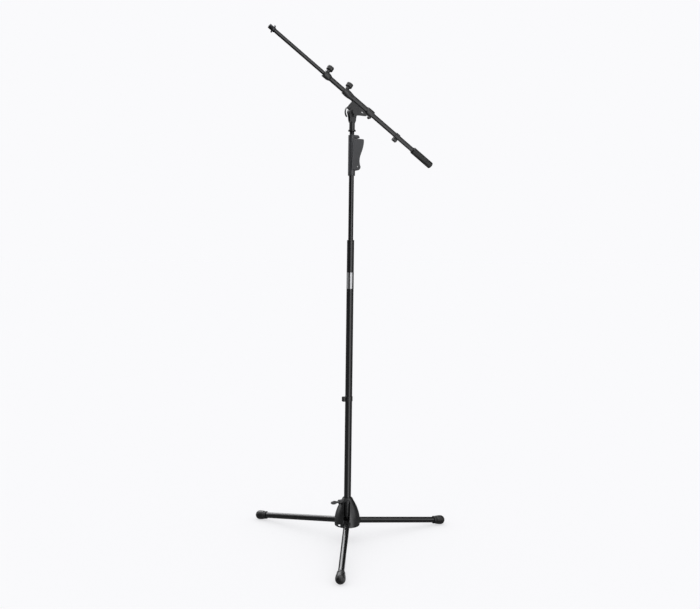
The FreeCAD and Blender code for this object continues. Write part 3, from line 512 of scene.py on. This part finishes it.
# ---- Clamp knobs -----------------------------------------------------------------------
# Two fluted nylon knobs moulded on steel screws: one fixes the boom in its clamp, the other
# fixes the extension in the boom. Each is 23 mm across and 13.5 mm high.
boom_rise = math.radians(33.4)
boom_out = np.array([-math.cos(boom_rise), 0, math.sin(boom_rise)])
boom_up = np.array([math.sin(boom_rise), 0, math.cos(boom_rise)])
boom_lift = 40 * MM
pivot = np.array([0, 0, 1459 * MM])


def on_boom(station, lift=0.0):
    """Point at a distance along the boom from the foot of the perpendicular at the pivot."""
    return pivot + boom_out * station + boom_up * (boom_lift + lift)


knob_height = 13.5 * MM
knob_lift = 19.8 * MM
knob_r = 11.4 * MM
screw_r = 2.95 * MM
collar_r = 5.8 * MM
flute_count, flute_depth = 8, 1.9 * MM


def flutes(along, radius, angle):
    """Finger flutes: out - depth * max(0, cos(count * a)) ** 1.5.

    They fade in over 2 mm from the lower face and over 3 mm outwards from the collar, and
    are a little shallower at the upper face.
    """
    low_fade = np.clip((along - 0.3 * MM) / (2 * MM), 0, 1)
    high_fade = np.clip((15 * MM - along) / (2 * MM), 0, 1)
    side_fade = np.clip((radius - 6 * MM) / (3 * MM), 0, 1)
    flute = flute_depth * np.maximum(0, np.cos(flute_count * angle)) ** 1.5
    return radius - flute * (low_fade * high_fade) * side_fade


# Each knob's piece, its body, its place along the boom, and how far from the boom's middle
# its screw ends: on the outer tube for one, and through it on the inner tube for the other.
knobs = (("bracket_knob", "clamp_knob", 58 * MM, 8.05 * MM),
         ("clutch_knob", "extension_knob", 144 * MM, 6.5 * MM))
for name, body, station, screw_foot in knobs:
    foot = screw_foot - knob_lift
    corners = np.array([[foot, 0.05 * MM], [foot, screw_r], [-2.4 * MM, screw_r],
                        [-2.4 * MM, collar_r], [0, collar_r + 0.05 * MM], [0, knob_r],
                        [knob_height, knob_r], [knob_height, 7.8 * MM],
                        [knob_height - 0.7 * MM, 7.2 * MM], [knob_height - 0.7 * MM, 0.3 * MM]])
    profile = smooth_profile(corners, 1.5 * MM, 5)
    knob = grid_mesh(name + "_fluted", turned(on_boom(station, knob_lift), boom_up, profile, 160,
                                              flutes), nylon)
    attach(knob, body)
    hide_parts(name)

# ---- Boom ------------------------------------------------------------------------------
# The boom is a 16 mm steel tube with a moulded clutch on its front end, a cable clip, and a
# rubber grip as counterweight on its tail. A 12.7 mm tube slides out of its front.
softened("boom_outer_tube", coat, 0.15 * MM)
softened("clutch_body", nylon, 0.5 * MM)
softened("boom_clip", nylon, 0.4 * MM)
softened("boom_inner_tube", rubbed, 0.15 * MM)
softened("inner_guide", nylon, 0.2 * MM)


tail_front, tail_end, boom_tail = -257 * MM, -350 * MM, -346 * MM
tail_r = 12 * MM
ring_depth, ring_pitch = 0.25 * MM, 4 * MM


def grip_rings(along, radius, angle):
    """Shallow moulded rings on the body: out - depth * (0.5 + 0.5 cos(2 pi along / pitch))."""
    body = np.clip((radius - 11.4 * MM) / (0.4 * MM), 0, 1)
    return radius - ring_depth * (0.5 + 0.5 * np.cos(2 * np.pi * along / ring_pitch)) * body


body_steps = np.arange(tail_front - 4 * MM, tail_end + 3 * MM, -0.4 * MM)
corners = np.vstack([[[boom_tail, 0.2 * MM], [boom_tail, 8.05 * MM], [tail_front, 8.05 * MM],
                      [tail_front, 9.2 * MM]],
                     np.stack([body_steps, np.full(len(body_steps), tail_r)], 1),
                     [[tail_end + 1.6 * MM, 11.3 * MM], [tail_end + 0.6 * MM, 10.2 * MM],
                      [tail_end, 8.8 * MM], [tail_end, 0.3 * MM]]])
tail = grid_mesh("tail_grip_ringed",
                 turned(on_boom(0), boom_out, corners, 72, grip_rings), rubber)
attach(tail, "boom_outer")
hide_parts("tail_grip")

# ---- Thread and wing nut ---------------------------------------------------------------
# The extension ends in a turned steel adapter with a 5/8 inch, 27 to the inch thread for the
# microphone clip. A pressed wing nut runs on it and locks the clip.
thread_root = 362 * MM
thread_tip = 385 * MM
thread_end = thread_tip - 1 * MM
spigot_end, spigot_r = thread_root - 16 * MM, 5.1 * MM
bore_end, bore_r = thread_tip - 14 * MM, 4.0 * MM
steps = np.arange(thread_root, thread_end, thread_pitch / 6)
profile = np.vstack([[[spigot_end, 0.2 * MM], [spigot_end, spigot_r],
                      [thread_root - 0.05 * MM, spigot_r]],
                     np.stack([steps, np.full(len(steps), thread_crest)], 1),
                     [[thread_tip, 7.0 * MM], [thread_tip, 4.2 * MM],
                      [thread_tip - 0.3 * MM, bore_r], [bore_end, bore_r],
                      [bore_end, 0.1 * MM]]])
adapter = grid_mesh("mic_adapter_threaded",
                    turned(on_boom(0), boom_out, profile, 64,
                           thread(thread_root, thread_end)), oxide)
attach(adapter, "boom_inner")
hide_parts("mic_adapter")
softened("wing_nut", oxide, 0.8 * MM)

# ---- Studio ----------------------------------------------------------------------------
# A white lit table that runs out of sight in a wide white room, with five softboxes round the
# stand. The camera stands a metre high and 2.8 m off, looking slightly down at the pole.
camera_place = np.array([-1.2842, -2.4882, 1.0005])
camera_turn = math.radians(-27.31)
camera_drop = math.radians(3.787)
camera_roll = math.radians(-0.71)
frame_width, lens_reach = 700, 826.4
sensor_width = 36
right = np.array([math.cos(camera_turn), math.sin(camera_turn), 0])
level = np.array([-math.sin(camera_turn), math.cos(camera_turn), 0])
ahead = level * math.cos(camera_drop) - np.array([0, 0, math.sin(camera_drop)])
above = np.cross(right, ahead)

white = linear("fafafc")
floor_reach = 60.0
plate = bpy.data.meshes.new("floor")
plate.from_pydata([(-floor_reach, -floor_reach, 0), (floor_reach, -floor_reach, 0),
                   (floor_reach, floor_reach, 0), (-floor_reach, floor_reach, 0)], [],
                  [(0, 1, 2, 3)])
floor = bpy.data.objects.new("floor", plate)
bpy.context.scene.collection.objects.link(floor)
# Opal acrylic, lit from below: white and matt. The gloss of the stand sees only a painted pool of
# light, emission in the table's own surface that stands in for the front softbox's light on it, so
# that black stays black. The painted pool lies in one direction from the pole, and fades from its
# core's angle to its edge's.
opal, tree, out = material("opal_acrylic_table")
skin = node(tree, "ShaderNodeBsdfDiffuse", {"Color": white})
lit = node(tree, "ShaderNodeEmission", {"Color": white, "Strength": 1.0})
lit_share = 0.6
table = node(tree, "ShaderNodeMixShader", {0: lit_share}, {1: skin.outputs["BSDF"],
                                                           2: lit.outputs["Emission"]})
place = node(tree, "ShaderNodeTexCoord")
bearing = node(tree, "ShaderNodeVectorMath", {"operation": "NORMALIZE"},
               {0: place.outputs["Object"]})
# Where the painted pool of light lies and how bright its painted glow is.
pool_turn, pool_core, pool_edge = (math.radians(angle) for angle in (28, 6, 32))
pool_dim, pool_bright = 0.22, 2.4
pool_way = right * math.sin(pool_turn) - level * math.cos(pool_turn)
near = node(tree, "ShaderNodeVectorMath", {"operation": "DOT_PRODUCT", 1: tuple(pool_way)},
            {0: bearing.outputs["Vector"]})
pool = node(tree, "ShaderNodeMapRange",
            {"interpolation_type": "SMOOTHSTEP", "From Min": math.cos(pool_edge),
             "From Max": math.cos(pool_core), "To Min": pool_dim, "To Max": pool_bright},
            {"Value": near.outputs["Value"]})
# Painted pool of light: emission on the table, shown only to glossy rays.
painted_pool_glow = node(tree, "ShaderNodeEmission", {"Color": white},
              {"Strength": pool.outputs["Result"]})
seen_by = node(tree, "ShaderNodeLightPath")
shown = node(tree, "ShaderNodeMixShader", {}, {0: seen_by.outputs["Is Glossy Ray"],
                                               1: table.outputs["Shader"],
                                               2: painted_pool_glow.outputs["Emission"]})
tree.links.new(shown.outputs["Shader"], out.inputs["Surface"])
plate.materials.append(opal)

# What the table and the camera see is an even white room. What the gloss sees is a dark room
# with softboxes: front right, right, left, high behind on the left, and overhead.
# Each has its turn to the right of the camera and its lift, the angles from its middle where
# it starts to fade and where it ends, all in degrees, and its strength.
world = bpy.data.worlds.new("studio")
bpy.context.scene.world = world
world.use_nodes = True
tree = world.node_tree
tree.nodes.clear()
way = node(tree, "ShaderNodeTexCoord")
softboxes = ((26, 6, 6, 24, 3.8), (70, 16, 8, 22, 2.0), (-112, 25, 14, 30, 2.0),
             (-160, 42, 14, 26, 6.0), (20, 72, 20, 50, 3.0))
room_glow = 0.02
softbox_tint = (0.96, 0.965, 0.98, 1)
brightness = None
for turn, lift, core, edge, strength in softboxes:
    turn, lift = math.radians(turn), math.radians(lift)
    towards = (right * math.sin(turn) - level * math.cos(turn)) * math.cos(lift)
    towards = towards + np.array([0, 0, math.sin(lift)])
    near = node(tree, "ShaderNodeVectorMath", {"operation": "DOT_PRODUCT", 1: tuple(towards)},
                {0: way.outputs["Generated"]})
    glow = node(tree, "ShaderNodeMapRange",
                {"interpolation_type": "SMOOTHSTEP", "From Min": math.cos(math.radians(edge)),
                 "From Max": math.cos(math.radians(core)), "To Max": strength},
                {"Value": near.outputs["Value"]})
    if brightness is None:
        brightness = node(tree, "ShaderNodeMath", {"operation": "ADD", 1: room_glow},
                          {0: glow.outputs["Result"]})
    else:
        brightness = node(tree, "ShaderNodeMath", {"operation": "ADD"},
                          {0: glow.outputs["Result"], 1: brightness.outputs["Value"]})
room = node(tree, "ShaderNodeBackground", {"Color": softbox_tint},
            {"Strength": brightness.outputs["Value"]})
rays = node(tree, "ShaderNodeLightPath")
sky = node(tree, "ShaderNodeBackground", {"Color": white, "Strength": 1.0})
fill = node(tree, "ShaderNodeBackground", {"Color": (1, 1, 1, 1), "Strength": 1.0})
even = node(tree, "ShaderNodeMixShader", {}, {0: rays.outputs["Is Camera Ray"],
                                              1: fill.outputs["Background"],
                                              2: sky.outputs["Background"]})
mixed = node(tree, "ShaderNodeMixShader", {}, {0: rays.outputs["Is Glossy Ray"],
                                               1: even.outputs["Shader"],
                                               2: room.outputs["Background"]})
node(tree, "ShaderNodeOutputWorld", {}, {"Surface": mixed.outputs["Shader"]})

lens = bpy.data.cameras.new("camera")
lens.lens = lens_reach / frame_width * sensor_width
lens.sensor_width = sensor_width
lens.sensor_fit = "HORIZONTAL"
camera = bpy.data.objects.new("camera", lens)
across = right * math.cos(camera_roll) - above * math.sin(camera_roll)
upward = right * math.sin(camera_roll) + above * math.cos(camera_roll)
pose = np.eye(4)
pose[:3, :4] = np.stack([across, upward, -ahead, camera_place], 1)
camera.matrix_world = Matrix(pose.tolist())
bpy.context.scene.collection.objects.link(camera)
bpy.context.scene.camera = camera
bpy.context.scene.view_settings.view_transform = "Standard"
